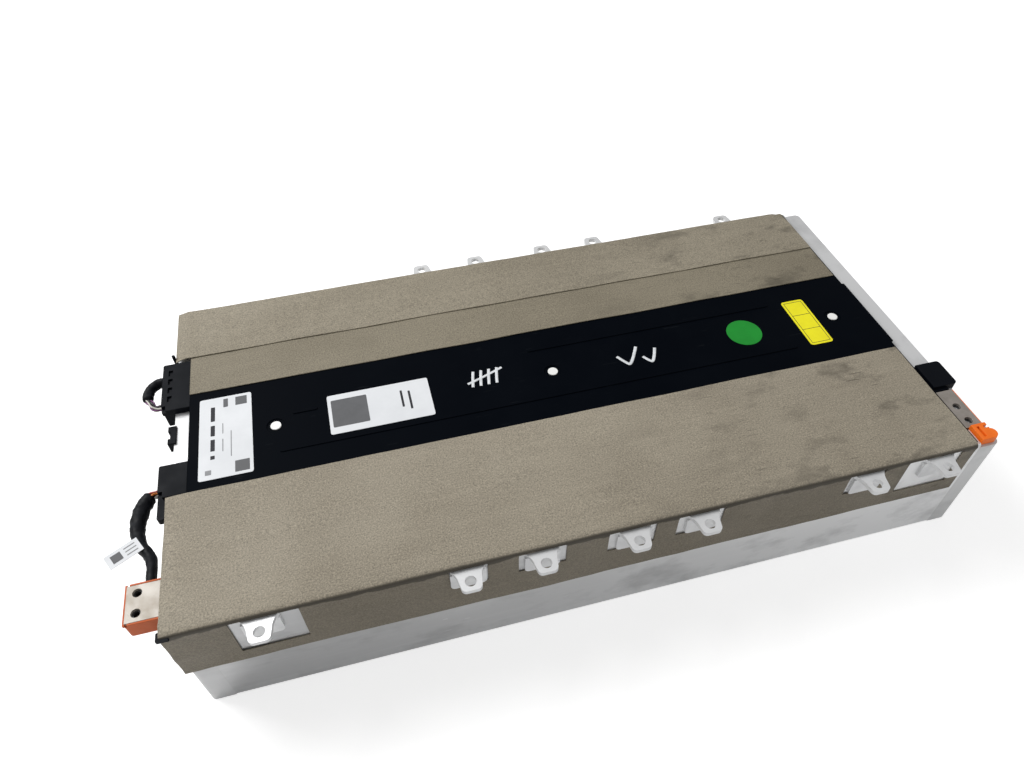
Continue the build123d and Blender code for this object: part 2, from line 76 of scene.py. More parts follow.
FRONT_EARS = 7
REAR_EARS = 5
CLOTH = 0.8 * MM                    # thickness of a woven sheet
CLOTH_GRID = 5 * MM                 # its grid along the top
CLOTH_GRID_DOWN = 3.5 * MM          # its grid down the side
FOLD_RADIUS = 3.0 * MM
FOLD_STEPS = 6
WINDOW_CLEAR = 1.6 * MM             # no grid line lies closer to a cut-out's edge
LEVEL_CLEAR = 0.4 * MM
FREE_EDGE = 6 * MM                  # strip along the inner edge that wavers
LABEL = 0.3 * MM                    # thickness of a label or sticker
PRINTED = 0.075 * MM                # height of the fields printed on it
CORNER_STEPS = 6
EASE_STEPS = 2
MERGE_WITHIN = 0.01 * MM
FLAT_WITHIN = math.radians(2)
EASE_OVER = math.radians(40)        # corners sharper than this are eased
SMOOTH_UNDER = math.radians(35)
SOFT_SMOOTH_UNDER = math.radians(50)
GRAIN_DEPTH = 0.2 * MM
WEAVE_DEPTH = 0.3 * MM
UP = Vector((0, 0, 1))


# --- small tools -------------------------------------------------------------------------------

def deselect():
    """Leave nothing selected and nothing active."""
    if bpy.context.object and bpy.context.object.mode != "OBJECT":
        bpy.ops.object.mode_set(mode="OBJECT")
    bpy.ops.object.select_all(action="DESELECT")
    bpy.context.view_layer.objects.active = None


def pick(obj):
    """Select one object alone and make it active."""
    deselect()
    obj.select_set(True)
    bpy.context.view_layer.objects.active = obj


def settle(obj, material):
    """Put a finished piece's place into its mesh, give it its finish and let it ride."""
    pick(obj)
    bpy.ops.object.transform_apply(location=True, rotation=True, scale=True)
    obj.data.materials.clear()
    obj.data.materials.append(material)
    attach(obj, "root")
    return obj


def apply_modifier(obj, kind, **values):
    """Put one modifier on a piece and apply it."""
    pick(obj)
    modifier = obj.modifiers.new(kind, kind)
    for key, value in values.items():
        setattr(modifier, key, value)
    bpy.ops.object.modifier_apply(modifier=modifier.name)


def made_object(name, mesh):
    """An object in the scene from a mesh built in code."""
    data = bpy.data.meshes.new(name)
    mesh.to_mesh(data)
    mesh.free()
    obj = bpy.data.objects.new(name, data)
    bpy.context.scene.collection.objects.link(obj)
    return obj


def rounded_plate(name, x, y, low, thickness, corner, material):
    """Flat plate with rounded corners: a plane whose corners are bevelled and which is extruded."""
    deselect()
    bpy.ops.mesh.primitive_plane_add(size=1, location=((x[0] + x[1]) / 2, (y[0] + y[1]) / 2, low))
    plate = bpy.context.object
    plate.name = name
    plate.scale = (x[1] - x[0], y[1] - y[0], 1)
    bpy.ops.object.transform_apply(location=False, rotation=False, scale=True)
    bpy.ops.object.mode_set(mode="EDIT")
    bpy.ops.mesh.select_all(action="SELECT")
    bpy.ops.mesh.bevel(offset=corner, segments=CORNER_STEPS, affect="VERTICES")
    bpy.ops.mesh.extrude_region_move(TRANSFORM_OT_translate={"value": (0, 0, thickness)})
    bpy.ops.mesh.select_all(action="SELECT")
    bpy.ops.mesh.normals_make_consistent(inside=False)
    bpy.ops.object.mode_set(mode="OBJECT")
    return settle(plate, material)


def disc(name, x, y, low, radius, thickness, material):
    """Thin round plate with an eased rim."""
    deselect()
    bpy.ops.mesh.primitive_cylinder_add(vertices=64, radius=radius, depth=thickness,
                                        location=(x, y, low + thickness / 2))
    plate = bpy.context.object
    plate.name = name
    apply_modifier(plate, "BEVEL", width=thickness * 0.3, segments=EASE_STEPS, limit_method="ANGLE")
    return settle(plate, material)


def softened(node, name, material, width):
    """A copy of a moulded or machined node with its sharp edges eased."""
    copy = nodes[node].copy()
    copy.data = nodes[node].data.copy()
    bpy.context.scene.collection.objects.link(copy)
    copy.parent = None
    copy.matrix_world = Matrix.Identity(4)
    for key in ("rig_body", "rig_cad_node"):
        if key in copy:
            del copy[key]
    copy.name = name
    pick(copy)
    bpy.ops.object.mode_set(mode="EDIT")
    bpy.ops.mesh.select_all(action="SELECT")
    bpy.ops.mesh.remove_doubles(threshold=MERGE_WITHIN)
    bpy.ops.mesh.dissolve_limited(angle_limit=FLAT_WITHIN)
    bpy.ops.object.mode_set(mode="OBJECT")
    apply_modifier(copy, "BEVEL", width=width, segments=EASE_STEPS, limit_method="ANGLE",
                   angle_limit=EASE_OVER)
    bpy.ops.object.shade_smooth_by_angle(angle=SMOOTH_UNDER)
    apply_modifier(copy, "WEIGHTED_NORMAL", keep_sharp=True, weight=100)
    settle(copy, material)
    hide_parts(node)
    return copy


# --- shader groups -------------------------------------------------------------------------------

def new_group(name, inputs, outputs):
    """Empty shader group with its named sockets, and its two end nodes."""
    group = bpy.data.node_groups.new(name, "ShaderNodeTree")
    for label, kind, value in inputs:
        socket = group.interface.new_socket(label, in_out="INPUT", socket_type=kind)
        socket.default_value = value
    for label, kind in outputs:
        group.interface.new_socket(label, in_out="OUTPUT", socket_type=kind)
    return group, group.nodes.new("NodeGroupInput"), group.nodes.new("NodeGroupOutput")


def noise_node(tree, scale, detail=4.0, vector=None, roughness=0.55):
    """Noise value; the scale is a number or a socket."""
    node = tree.nodes.new("ShaderNodeTexNoise")
    node.inputs["Detail"].default_value = detail
    node.inputs["Roughness"].default_value = roughness
    if isinstance(scale, (int, float)):
        node.inputs["Scale"].default_value = scale
    else:
        tree.links.new(scale, node.inputs["Scale"])
    if vector:
        tree.links.new(vector, node.inputs["Vector"])
    return node.outputs["Fac"]


def ramp(tree, value, low, high, from_value=0.0, to_value=1.0):
    """Change evenly from one value to another while the input goes from low to high."""
    node = tree.nodes.new("ShaderNodeMapRange")
    node.inputs["From Min"].default_value = low
    node.inputs["From Max"].default_value = high
    node.inputs["To Min"].default_value = from_value
    node.inputs["To Max"].default_value = to_value
    tree.links.new(value, node.inputs["Value"])
    return node.outputs["Result"]


def mix(tree, factor, a, b):
    """Colour between a and b; each input is a value or a socket."""
    node = tree.nodes.new("ShaderNodeMix")
    node.data_type = "RGBA"
    for socket, value in ((node.inputs[0], factor), (node.inputs[6], a), (node.inputs[7], b)):
        if isinstance(value, bpy.types.NodeSocket):
            tree.links.new(value, socket)
        else:
            socket.default_value = value
    return node.outputs[2]


def math_node(tree, operation, a, b=0.0):
    """One sum of two inputs, each a number or a socket."""
    node = tree.nodes.new("ShaderNodeMath")
    node.operation = operation
    for socket, value in ((node.inputs[0], a), (node.inputs[1], b)):
        if isinstance(value, bpy.types.NodeSocket):
            tree.links.new(value, socket)
        else:
            socket.default_value = value
    return node.outputs[0]


def stretched(tree, vector, scale):
    """The same places, drawn out or pressed along each axis."""
    node = tree.nodes.new("ShaderNodeMapping")
    node.inputs["Scale"].default_value = scale
    tree.links.new(vector, node.inputs["Vector"])
    return node.outputs["Vector"]


def smudge_group():
    """Cloudy handling marks and fine scratches, as a mask."""
    group, start, end = new_group(
        "smudges", [("Vector", "NodeSocketVector", (0, 0, 0)), ("Size", "NodeSocketFloat", 20.0)],
        [("Cloud", "NodeSocketFloat"), ("Scratch", "NodeSocketFloat"), ("Grain", "NodeSocketFloat")])
    vector = start.outputs["Vector"]
    cloud = noise_node(group, start.outputs["Size"], detail=6.0, vector=vector, roughness=0.6)
    group.links.new(ramp(group, cloud, low=0.38, high=0.66), end.inputs["Cloud"])
    lines = noise_node(group, scale=60.0, detail=2.0, vector=stretched(group, vector, (0.6, 9.0, 3.0)))
    broken = noise_node(group, scale=25.0, detail=3.0, vector=vector)
    thin = math_node(group, "GREATER_THAN", lines, 0.69)
    group.links.new(math_node(group, "MULTIPLY", thin, ramp(group, broken, low=0.5, high=0.62)),
                    end.inputs["Scratch"])
    group.links.new(noise_node(group, scale=900.0, detail=2.0, vector=vector), end.inputs["Grain"])
    return group


def weave_group():
    """Plain weave of flat yarns, crossing along the two given directions."""
    group, start, end = new_group(
        "plain_weave", [("Across", "NodeSocketFloat", 0.0), ("Down", "NodeSocketFloat", 0.0),
                        ("Yarns", "NodeSocketFloat", 900.0)],
        [("Height", "NodeSocketFloat")])
    rounded = []
    for label in ("Across", "Down"):
        scaled = math_node(group, "MULTIPLY", start.outputs[label], start.outputs["Yarns"])
        turn = math_node(group, "MULTIPLY", scaled, math.pi)
        rounded.append(math_node(group, "ABSOLUTE", math_node(group, "SINE", turn)))
    group.links.new(math_node(group, "MULTIPLY", *rounded), end.inputs["Height"])
    return group


SMUDGE = smudge_group()
WEAVE = weave_group()
SCRATCH_SHARE = 0.6


def new_material(name, color, roughness=0.5, metallic=0.0):
    """Plain Principled material, its node tree and its shader."""
    material = bpy.data.materials.new(name)
    material.use_nodes = True
    tree = material.node_tree
    shader = tree.nodes["Principled BSDF"]
    shader.inputs["Base Color"].default_value = (*color, 1)
    shader.inputs["Roughness"].default_value = roughness
    shader.inputs["Metallic"].default_value = metallic
    return material, tree, shader


def object_vector(tree):
    return tree.nodes.new("ShaderNodeTexCoord").outputs["Object"]


def smudges(tree, size):
    """The shared smudge group, placed in one material."""
    node = tree.nodes.new("ShaderNodeGroup")
    node.node_tree = SMUDGE
    node.inputs["Size"].default_value = size
    tree.links.new(object_vector(tree), node.inputs["Vector"])
    return node


def bump(tree, shader, height, strength, distance):
    """Fine relief on a surface."""
    node = tree.nodes.new("ShaderNodeBump")
    node.inputs["Strength"].default_value = strength
    node.inputs["Distance"].default_value = distance
    tree.links.new(height, node.inputs["Height"])
    tree.links.new(node.outputs["Normal"], shader.inputs["Normal"])


def surface(name, color, worn, roughness, rough_worn, metallic=0.0, size=60.0, grain=0.1,
            scratch=None, specular=0.5):
    """Moulded or metal finish: cloudy change of colour and gloss, scratches and fine grain."""
    material, tree, shader = new_material(name, color, roughness, metallic)
    marks = smudges(tree, size)
    tone = mix(tree, marks.outputs["Cloud"], (*color, 1), (*worn, 1))
    if scratch:
        share = math_node(tree, "MULTIPLY", marks.outputs["Scratch"], SCRATCH_SHARE)
        tone = mix(tree, share, tone, (*scratch, 1))
    tree.links.new(tone, shader.inputs["Base Color"])
    tree.links.new(ramp(tree, marks.outputs["Cloud"], 0, 1, roughness, rough_worn),
                   shader.inputs["Roughness"])
    bump(tree, shader, marks.outputs["Grain"], grain, GRAIN_DEPTH)
    shader.inputs["Specular IOR Level"].default_value = specular
    return material


def darker(color, share):
    """A colour at a share of its brightness; above 1 it is paler."""
    return tuple(c * share for c in color) + (1,)


YARNS_PER_METRE = 1150.0
FRONT_FACE_SHADE = (FRONT_LOW.y + 1.2 * MM, FRONT_LOW.y - 0.2 * MM)      # painted shade of the front face sets in, and is full
FOLD_SHADE_LINE = (FRONT_HIGH.z - 6.5 * MM, FRONT_HIGH.z - 4.8 * MM)     # dark line of painted shade along the fold
WORN_END = (0.02, 0.26)                                            # wear grows along x
SHEEN_OF_CLOTH = 0.3


def cloth_material(name, light, dark):
    """Coated glass cloth: fine yarns, salt-and-pepper grain, rubbed patches, and painted shade in the hollows
    between yarns, on the front face and along its fold.
    """
    material, tree, shader = new_material(name, light, roughness=0.62)
    yarn = tree.nodes.new("ShaderNodeUVMap")
    yarn.uv_map = "yarn"
    split = tree.nodes.new("ShaderNodeSeparateXYZ")
    tree.links.new(yarn.outputs["UV"], split.inputs["Vector"])
    weave = tree.nodes.new("ShaderNodeGroup")
    weave.node_tree = WEAVE
    weave.inputs["Yarns"].default_value = YARNS_PER_METRE
    tree.links.new(split.outputs["X"], weave.inputs["Across"])
    tree.links.new(split.outputs["Y"], weave.inputs["Down"])
    marks = smudges(tree, size=7.0)
    vector = object_vector(tree)
    place = tree.nodes.new("ShaderNodeSeparateXYZ")
    tree.links.new(vector, place.inputs["Vector"])

    # cloudy tone, streaks along the warp, grain, and painted shade in the hollows between yarns
    tone = mix(tree, marks.outputs["Cloud"], (*light, 1), (*dark, 1))
    streak = noise_node(tree, scale=55.0, vector=stretched(tree, vector, (0.25, 3.0, 2.0)))
    tone = mix(tree, ramp(tree, streak, low=0.50, high=0.75, to_value=0.35), tone, darker(light, 1.22))
    specks = noise_node(tree, scale=760.0, detail=3.0, vector=vector, roughness=0.8)
    tone = mix(tree, ramp(tree, specks, low=0.50, high=0.70, to_value=0.85), tone, darker(dark, 0.42))
    tone = mix(tree, ramp(tree, specks, low=0.48, high=0.30, to_value=0.70), tone, darker(light, 1.6))
    # painted shade: the hollows between yarns are darkened
    yarn_hollow_shade = ramp(tree, weave.outputs["Height"], low=0.0, high=0.5, from_value=0.30, to_value=0.0)
    tone = mix(tree, yarn_hollow_shade, tone, darker(dark, 0.5))

    # rubbed patches and nicks, more of them towards the right-hand end
    worn = ramp(tree, place.outputs["X"], *WORN_END, from_value=0.08, to_value=0.85)
    blotch = noise_node(tree, scale=26.0, detail=5.0, vector=stretched(tree, vector, (0.8, 1.5, 1.0)),
                        roughness=0.65)
    rubbed = math_node(tree, "MULTIPLY", ramp(tree, blotch, low=0.53, high=0.67), worn)
    tone = mix(tree, rubbed, tone, darker(dark, 0.50))
    nick = noise_node(tree, scale=34.0, detail=1.0, vector=stretched(tree, vector, (1.1, 11.0, 3.0)))
    nick = math_node(tree, "MULTIPLY", math_node(tree, "GREATER_THAN", nick, 0.745), worn)
    tone = mix(tree, math_node(tree, "MULTIPLY", nick, 0.7), tone, darker(dark, 0.28))

    # painted shade on the front face, and a darker, wandering line of painted shade along its fold
    front_face_shade = ramp(tree, place.outputs["Y"], *FRONT_FACE_SHADE)
    # painted shade: the front face is darkened
    tone = mix(tree, math_node(tree, "MULTIPLY", front_face_shade, 0.55), tone, darker(dark, 0.42))
    wander = noise_node(tree, scale=38.0, vector=stretched(tree, vector, (1.0, 1.0, 0.0)))
    wander = ramp(tree, wander, low=0.3, high=0.7, from_value=-3.5 * MM, to_value=2.5 * MM)
    shifted = math_node(tree, "ADD", place.outputs["Z"], wander)
    # painted shade: a dark, wandering line just under the fold
    fold = math_node(tree, "MULTIPLY", ramp(tree, shifted, *FOLD_SHADE_LINE), front_face_shade)
    tone = mix(tree, math_node(tree, "MULTIPLY", fold, 0.88), tone, darker(dark, 0.20))

    tree.links.new(tone, shader.inputs["Base Color"])
    rough = ramp(tree, marks.outputs["Cloud"], 0, 1, from_value=0.55, to_value=0.75)
    tree.links.new(rough, shader.inputs["Roughness"])
    bump(tree, shader, math_node(tree, "ADD", weave.outputs["Height"], specks), 0.35, WEAVE_DEPTH)
    shader.inputs["Specular IOR Level"].default_value = SHEEN_OF_CLOTH
    return material


PAINTED_LIGHT_ALONG = (-0.34, 0.26)      # painted light: the bare plates grow brighter along x, a painted sheen towards the right


def plate_material(name, left, right, metallic):
    """Bare sheet metal: rolled streaks, handling smudges, and painted sheen that makes it brighter towards
    the right-hand end.
    """
    material, tree, shader = new_material(name, left, roughness=0.4, metallic=metallic)
    marks = smudges(tree, size=9.0)
    vector = object_vector(tree)
    place = tree.nodes.new("ShaderNodeSeparateXYZ")
    tree.links.new(vector, place.inputs["Vector"])
    # painted light: the tone runs from the left colour to the brighter right one along x
    tone = mix(tree, ramp(tree, place.outputs["X"], *PAINTED_LIGHT_ALONG), (*left, 1), (*right, 1))
    smear = noise_node(tree, scale=16.0, detail=6.0, vector=stretched(tree, vector, (1.0, 1.0, 1.6)),
                       roughness=0.62)
    tone = mix(tree, ramp(tree, smear, low=0.50, high=0.70, to_value=0.5), tone, darker(left, 0.70))
    rolled = noise_node(tree, scale=26.0, vector=stretched(tree, vector, (0.3, 3.0, 6.0)))
    tone = mix(tree, ramp(tree, rolled, low=0.45, high=0.7, to_value=0.12), tone, (*right, 1))
    scratches = math_node(tree, "MULTIPLY", marks.outputs["Scratch"], SCRATCH_SHARE)
    tone = mix(tree, scratches, tone, darker(right, 0.95))
    tree.links.new(tone, shader.inputs["Base Color"])
    rough = ramp(tree, marks.outputs["Cloud"], 0, 1, from_value=0.32, to_value=0.52)
    tree.links.new(rough, shader.inputs["Roughness"])
    bump(tree, shader, marks.outputs["Grain"], 0.12, GRAIN_DEPTH)
    return material


# The same cloth in three tones; the rear and overlay copies are made darker as painted shade.
CLOTH_TONE = cloth_material("coated_glass_cloth", (0.325, 0.288, 0.222), (0.258, 0.226, 0.172))
REAR_TONE = cloth_material("coated_glass_cloth_rear", (0.238, 0.209, 0.152), (0.195, 0.170, 0.123))
OVER_TONE = cloth_material("coated_glass_cloth_over", (0.285, 0.252, 0.190), (0.228, 0.200, 0.149))
# the difference between each plate finish's left and right tones is painted light
PLATE = plate_material("bare_plate", (0.50, 0.503, 0.507), (0.86, 0.864, 0.868), metallic=0.85)
END = plate_material("end_plate", (0.52, 0.523, 0.527), (0.64, 0.643, 0.647), metallic=0.3)
EAR = surface("bright_ear", (0.76, 0.765, 0.77), (0.66, 0.665, 0.67), roughness=0.38, rough_worn=0.50,
              metallic=0.5, grain=0.2)
COVER = surface("cover_black", (0.0008, 0.0016, 0.0034), (0.0016, 0.0026, 0.0046), roughness=0.50,
                rough_worn=0.62, size=14.0, grain=0.05, scratch=(0.010, 0.012, 0.014), specular=0.02)
BLACK = surface("moulded_black", (0.0016, 0.0026, 0.0050), (0.003, 0.004, 0.006), roughness=0.42,
                rough_worn=0.55, size=50.0, specular=0.06)
# the left housing's orange: the same plastic as the right one, made darker as painted shade
ORANGE_PAINTED_SHADE = surface("moulded_orange_painted_shade", (0.50, 0.098, 0.018), (0.43, 0.080, 0.014), roughness=0.50,
                      rough_worn=0.62, specular=0.25)
ORANGE_RIGHT = surface("moulded_orange", (0.93, 0.185, 0.012), (0.84, 0.155, 0.010), roughness=0.42,
                       rough_worn=0.5, specular=0.3)
CREAM = surface("plated_bar_bright", (0.37, 0.34, 0.30), (0.32, 0.28, 0.23), roughness=0.40,
                rough_worn=0.52, metallic=0.15, size=70.0)
TINNED = surface("plated_bar_dull", (0.36, 0.325, 0.295), (0.27, 0.243, 0.215), roughness=0.34,
                 rough_worn=0.46, metallic=0.5, size=70.0)
STEEL = surface("zinc_steel", (0.10, 0.10, 0.10), (0.06, 0.06, 0.06), roughness=0.45, rough_worn=0.6,
                metallic=0.8, size=70.0)
WHITE = surface("white_plastic", (0.84, 0.84, 0.82), (0.76, 0.76, 0.74), roughness=0.45, rough_worn=0.6,
                size=90.0)
PAPER = surface("label_white", (0.70, 0.715, 0.735), (0.65, 0.665, 0.685), roughness=0.5, rough_worn=0.6,
                size=30.0, grain=0.04, specular=0.25)
PRINT = surface("label_print", (0.075, 0.077, 0.082), (0.10, 0.102, 0.108), roughness=0.6, rough_worn=0.7,
                grain=0.05)
INK = surface("label_ink", (0.02, 0.02, 0.024), (0.035, 0.035, 0.04), roughness=0.6, rough_worn=0.7,
              grain=0.05, specular=0.2)
PALE_INK = surface("label_grey", (0.20, 0.205, 0.215), (0.26, 0.265, 0.275), roughness=0.6, rough_worn=0.7,
                   grain=0.05)
GREEN = surface("sticker_green", (0.010, 0.255, 0.027), (0.009, 0.225, 0.024), roughness=0.45,
                rough_worn=0.55, grain=0.05, specular=0.2)
YELLOW = surface("sticker_yellow", (0.84, 0.77, 0.016), (0.77, 0.70, 0.016), roughness=0.45,
                 rough_worn=0.55, grain=0.05, specular=0.2)
PAINT = surface("paint_pen", (0.72, 0.74, 0.76), (0.56, 0.58, 0.60), roughness=0.5, rough_worn=0.6,
                size=300.0, grain=0.3)
CELL = surface("cell_film", (0.03, 0.10, 0.32), (0.025, 0.085, 0.28), roughness=0.35, rough_worn=0.45,
               size=20.0, grain=0.05)
FILLER = surface("filler_sheet", (0.62, 0.61, 0.58), (0.54, 0.53, 0.50), roughness=0.7, rough_worn=0.8,
                 size=40.0, grain=0.3)
FILM = surface("strip_film", (0.42, 0.18, 0.02), (0.36, 0.15, 0.02), roughness=0.3, rough_worn=0.4,
               size=40.0, grain=0.05)
TAPE = surface("black_tape", (0.004, 0.0045, 0.006), (0.008, 0.009, 0.012), roughness=0.45,
               rough_worn=0.62, size=160.0, grain=0.5, specular=0.12)
WIRE_TONES = [surface(f"wire_{name}", color, darker(color, 0.85)[:3], roughness=0.4, rough_worn=0.5,
                      size=90.0, grain=0.05)
              for name, color in (("red", (0.42, 0.025, 0.012)), ("orange", (0.62, 0.17, 0.02)),
                                  ("pale", (0.62, 0.60, 0.55)), ("violet", (0.16, 0.045, 0.15)),
                                  ("dark", (0.012, 0.012, 0.014)))]


# --- cloth ---------------------------------------------------------------------------------------

def steps(low, high, step):
    """Even places from low to high, about a step apart."""
    count = max(1, round((high - low) / step))
    return [low + (high - low) * i / count for i in range(count + 1)]


def fold_profile(inner, outer, top, bottom, radius, side):
    """Section of a sheet from its inner edge, over the edge and down the side: place and normal."""
    spots = [(y, top, 0.0, 1.0) for y in steps(inner, outer - radius, CLOTH_GRID)]
    for i in range(1, FOLD_STEPS + 1):
        turn = math.pi / 2 * i / FOLD_STEPS
        spots.append((outer - radius + radius * math.sin(turn), top - radius + radius * math.cos(turn),
                      math.sin(turn), math.cos(turn)))
    drop = top - radius - bottom
    count = max(1, round(drop / CLOTH_GRID_DOWN))
    for i in range(1, count + 1):
        spots.append((outer, top - radius - drop * i / count, 1.0, 0.0))
    return [(side * y, z, side * ny, nz) for y, z, ny, nz in spots]


def waver(place, scale, seed=0.0):
    """Smooth unevenness between about -1 and 1."""
    return noise.noise(Vector(place) * scale + Vector((seed, seed * 0.7, seed * 1.3)))


def grid_lines(left, right, windows):
    """Places of the grid's lines along x, with one at each edge of a cut-out."""
    lines = {round(x, 6) for x in steps(left, right, CLOTH_GRID)}
    for low, high, _, _ in windows:
        lines = {x for x in lines if abs(x - low) > WINDOW_CLEAR and abs(x - high) > WINDOW_CLEAR}
        lines |= {low, high}
    return sorted(lines)


def with_levels(profile, windows):
    """The section, with a spot at each cut-out's top and bottom where it runs down the side."""
    levels = sorted({z for window in windows for z in window[2:]}, reverse=True)
    path = []
    for i, spot in enumerate(profile):
        path.append(spot)
        if i + 1 < len(profile) and spot[3] == 0.0 and profile[i + 1][3] == 0.0:
            for z in levels:
                if profile[i + 1][1] + LEVEL_CLEAR < z < spot[1] - LEVEL_CLEAR:
                    path.append((spot[0], z, spot[2], 0.0))
    return path


def woven_sheet(name, left, right, profile, windows, shape, material):
    """Bent sheet built over a grid that has lines at the edges of its cut-outs."""
    xs = grid_lines(left, right, windows)
    path = with_levels(profile, windows)
    run = [0.0]
    for a, b in zip(path, path[1:]):
        run.append(run[-1] + math.hypot(b[0] - a[0], b[1] - a[1]))
    mesh = bmesh.new()
    uv = mesh.loops.layers.uv.new("yarn")
    grid = []
    for x in xs:
        column = []
        for spot, along in zip(path, run):
            place = Vector((x, spot[0], spot[1]))
            normal = Vector((0, spot[2], spot[3]))
            column.append((mesh.verts.new(shape(place, normal, along)), (x, along)))
        grid.append(column)
    for i in range(len(xs) - 1):
        for j in range(len(path) - 1):
            x = (xs[i] + xs[i + 1]) / 2
            z = (path[j][1] + path[j + 1][1]) / 2
            if any(a < x < b and c < z < d for a, b, c, d in windows):
                continue
            corners = [grid[i][j], grid[i + 1][j], grid[i + 1][j + 1], grid[i][j + 1]]
            face = mesh.faces.new([vert for vert, _ in corners])
            for loop, (_, yarn) in zip(face.loops, corners):
                loop[uv].uv = yarn
    bmesh.ops.delete(mesh, geom=[v for v in mesh.verts if not v.link_faces], context="VERTS")
    mesh.normal_update()
    if sum(f.normal.z for f in mesh.faces if abs(f.normal.z) > 0.5) < 0:
        bmesh.ops.reverse_faces(mesh, faces=mesh.faces)
    obj = made_object(name, mesh)
    apply_modifier(obj, "SOLIDIFY", thickness=CLOTH, offset=1.0)
    bpy.ops.object.shade_smooth_by_angle(angle=SOFT_SMOOTH_UNDER)
    return settle(obj, material)


def ear_windows(prefix, sizes):
    """Cut-outs round the ears: left, right, bottom and top of each."""
    found = []
    for i, (width, height, shift) in enumerate(sizes):
        low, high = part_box(f"{prefix}_{i + 1}")
        centre = (low.x + high.x) / 2 + shift * MM
        found.append((centre - width / 2 * MM, centre + width / 2 * MM, high.z - height * MM,
                      high.z + 0.5 * MM))
    return found


# width, height and shift along x of each cut-out, in millimetres
FRONT_WINDOWS = ear_windows("mount_ear_front", (
    (51, 43, 3.0), (30, 24, 0.5), (39, 24, 0.5), (40, 25, -1.0), (40, 25, -1.5), (34, 24, -1.5),
    (52, 41, -3.5)))
REAR_WINDOWS = ear_windows("mount_ear_rear", ((39, 24, 0.0),) * REAR_EARS)
RIDGE_Y = -0.105                    # faint ridge along the top of the front wrap
CREASE_Y = -0.1655                  # crease that runs out of its slack left corner
FRONT_SLACK = 26 * MM
OVERLAY_SLACK = 12 * MM
OVERLAY_FAR = 14 * MM


def bell(value, centre, width):
    """1 at the centre, fading to 0 on both sides."""
    return math.exp(-((value - centre) / width) ** 2)


def front_shape(place, normal, along):
    """Unevenness of the front wrap: proud edge, faint ridge, slack left corner."""
    x, y, z = place
    on_top = normal.z > 0.5
    lift = 0.35 * MM * (1 + waver(place, 22.0)) + 0.15 * MM * waver(place, 70.0, 3.0)
    if on_top:
        ridge = bell(y, RIDGE_Y + 4 * MM * math.sin(x * 9), 1.6 * MM)
        lift += 0.5 * MM * ridge * (1 if x < 0 else 0.5)
    if abs(normal.z) < 0.9:
        edge = bell(z, FRONT_HIGH.z, 5 * MM) * (1 - abs(normal.z))
        lift += 0.9 * MM * edge * (1 + 0.5 * waver(place, 12.0, 5.0))
    if normal.z < 0.1:
        hem = bell(z, FRONT_LOW.z, 30 * MM)
        lift += 0.9 * MM * max(0.0, waver((x, 0, z * 0.4), 30.0, 9.0)) * hem
    moved = place + normal * lift
    slack = max(0.0, (FRONT_LOW.x + FRONT_SLACK - x) / FRONT_SLACK)
    if slack > 0:
        moved.x -= 2.2 * MM * slack ** 2 * (1 + 0.25 * waver((0, y, z), 40.0, 13.0))
        if on_top:
            crease = bell(y, CREASE_Y + 0.10 * (x - FRONT_LOW.x), 2.2 * MM)
            moved.z += 1.3 * MM * slack * crease - 1.2 * MM * slack ** 3
        else:
            moved.y -= 0.5 * MM * slack * max(0.0, math.sin(z * 240))
    if along < FREE_EDGE:
        moved.y += 0.7 * MM * waver((x, 0, 0), 14.0, 7.0)
    return moved


def rear_shape(place, normal, along):
    """Unevenness of the inner rear wrap, most of it on top."""
    lift = 0.25 * MM * (1 + waver(place, 26.0, 11.0)) * (1 if normal.z > 0.5 else 0.4)
    moved = place + normal * lift
    if along < FREE_EDGE:
        moved.y += 0.8 * MM * waver((place.x, 0, 0), 16.0, 2.0)
    return moved


def overlay_shape(place, normal, along):
    """Outer rear sheet: lies proud of the inner one, droops over both ends."""
    x, y, _ = place
    lift = 0.35 * MM * (1.4 + waver(place, 24.0, 21.0)) + 0.15 * MM * waver(place, 80.0, 31.0)
    lift += 0.5 * MM * bell(x, OVERLAY_LOW.x + 11 * MM, 3 * MM)
    moved = place + normal * lift
    slack = max(0.0, (OVERLAY_LOW.x + OVERLAY_SLACK - x) / OVERLAY_SLACK)
    moved.z -= 3.0 * MM * slack ** 2 * max(0.0, normal.z)
    far = max(0.0, (x - OVERLAY_HIGH.x + OVERLAY_FAR) / OVERLAY_FAR) * bell(y, OVERLAY_HIGH.y, 16 * MM)
    moved.z -= 3.0 * MM * far ** 2
    moved.x -= 3.0 * MM * far ** 2
    if along < FREE_EDGE:
        moved.y += 0.9 * MM * waver((x, 0, 0), 15.0, 4.0)
    return moved


def build_cloth():
    """The three wraps, each over its own sheet of the frame."""
    front = woven_sheet(
        "front_cloth", FRONT_LOW.x, FRONT_HIGH.x,
        fold_profile(-FRONT_HIGH.y, -FRONT_LOW.y - CLOTH, FRONT_HIGH.z - CLOTH, FRONT_LOW.z,
                     FOLD_RADIUS, -1),
        FRONT_WINDOWS, front_shape, CLOTH_TONE)
    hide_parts("wrap_front")
    rear = woven_sheet(
        "rear_cloth", REAR_LOW.x, REAR_HIGH.x,
        fold_profile(REAR_LOW.y, REAR_HIGH.y - CLOTH, REAR_HIGH.z - CLOTH, REAR_LOW.z, FOLD_RADIUS, 1),
        REAR_WINDOWS, rear_shape, REAR_TONE)
    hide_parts("wrap_rear")
    overlay = woven_sheet(
        "rear_cloth_overlay", OVERLAY_LOW.x, OVERLAY_HIGH.x,
        fold_profile(OVERLAY_LOW.y, OVERLAY_HIGH.y - CLOTH, OVERLAY_HIGH.z - CLOTH, OVERLAY_LOW.z,
                     FOLD_RADIUS, 1),
        REAR_WINDOWS, overlay_shape, OVER_TONE)
    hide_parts("wrap_rear_overlay")
    return front, rear, overlay


# --- labels and marks ----------------------------------------------------------------------------

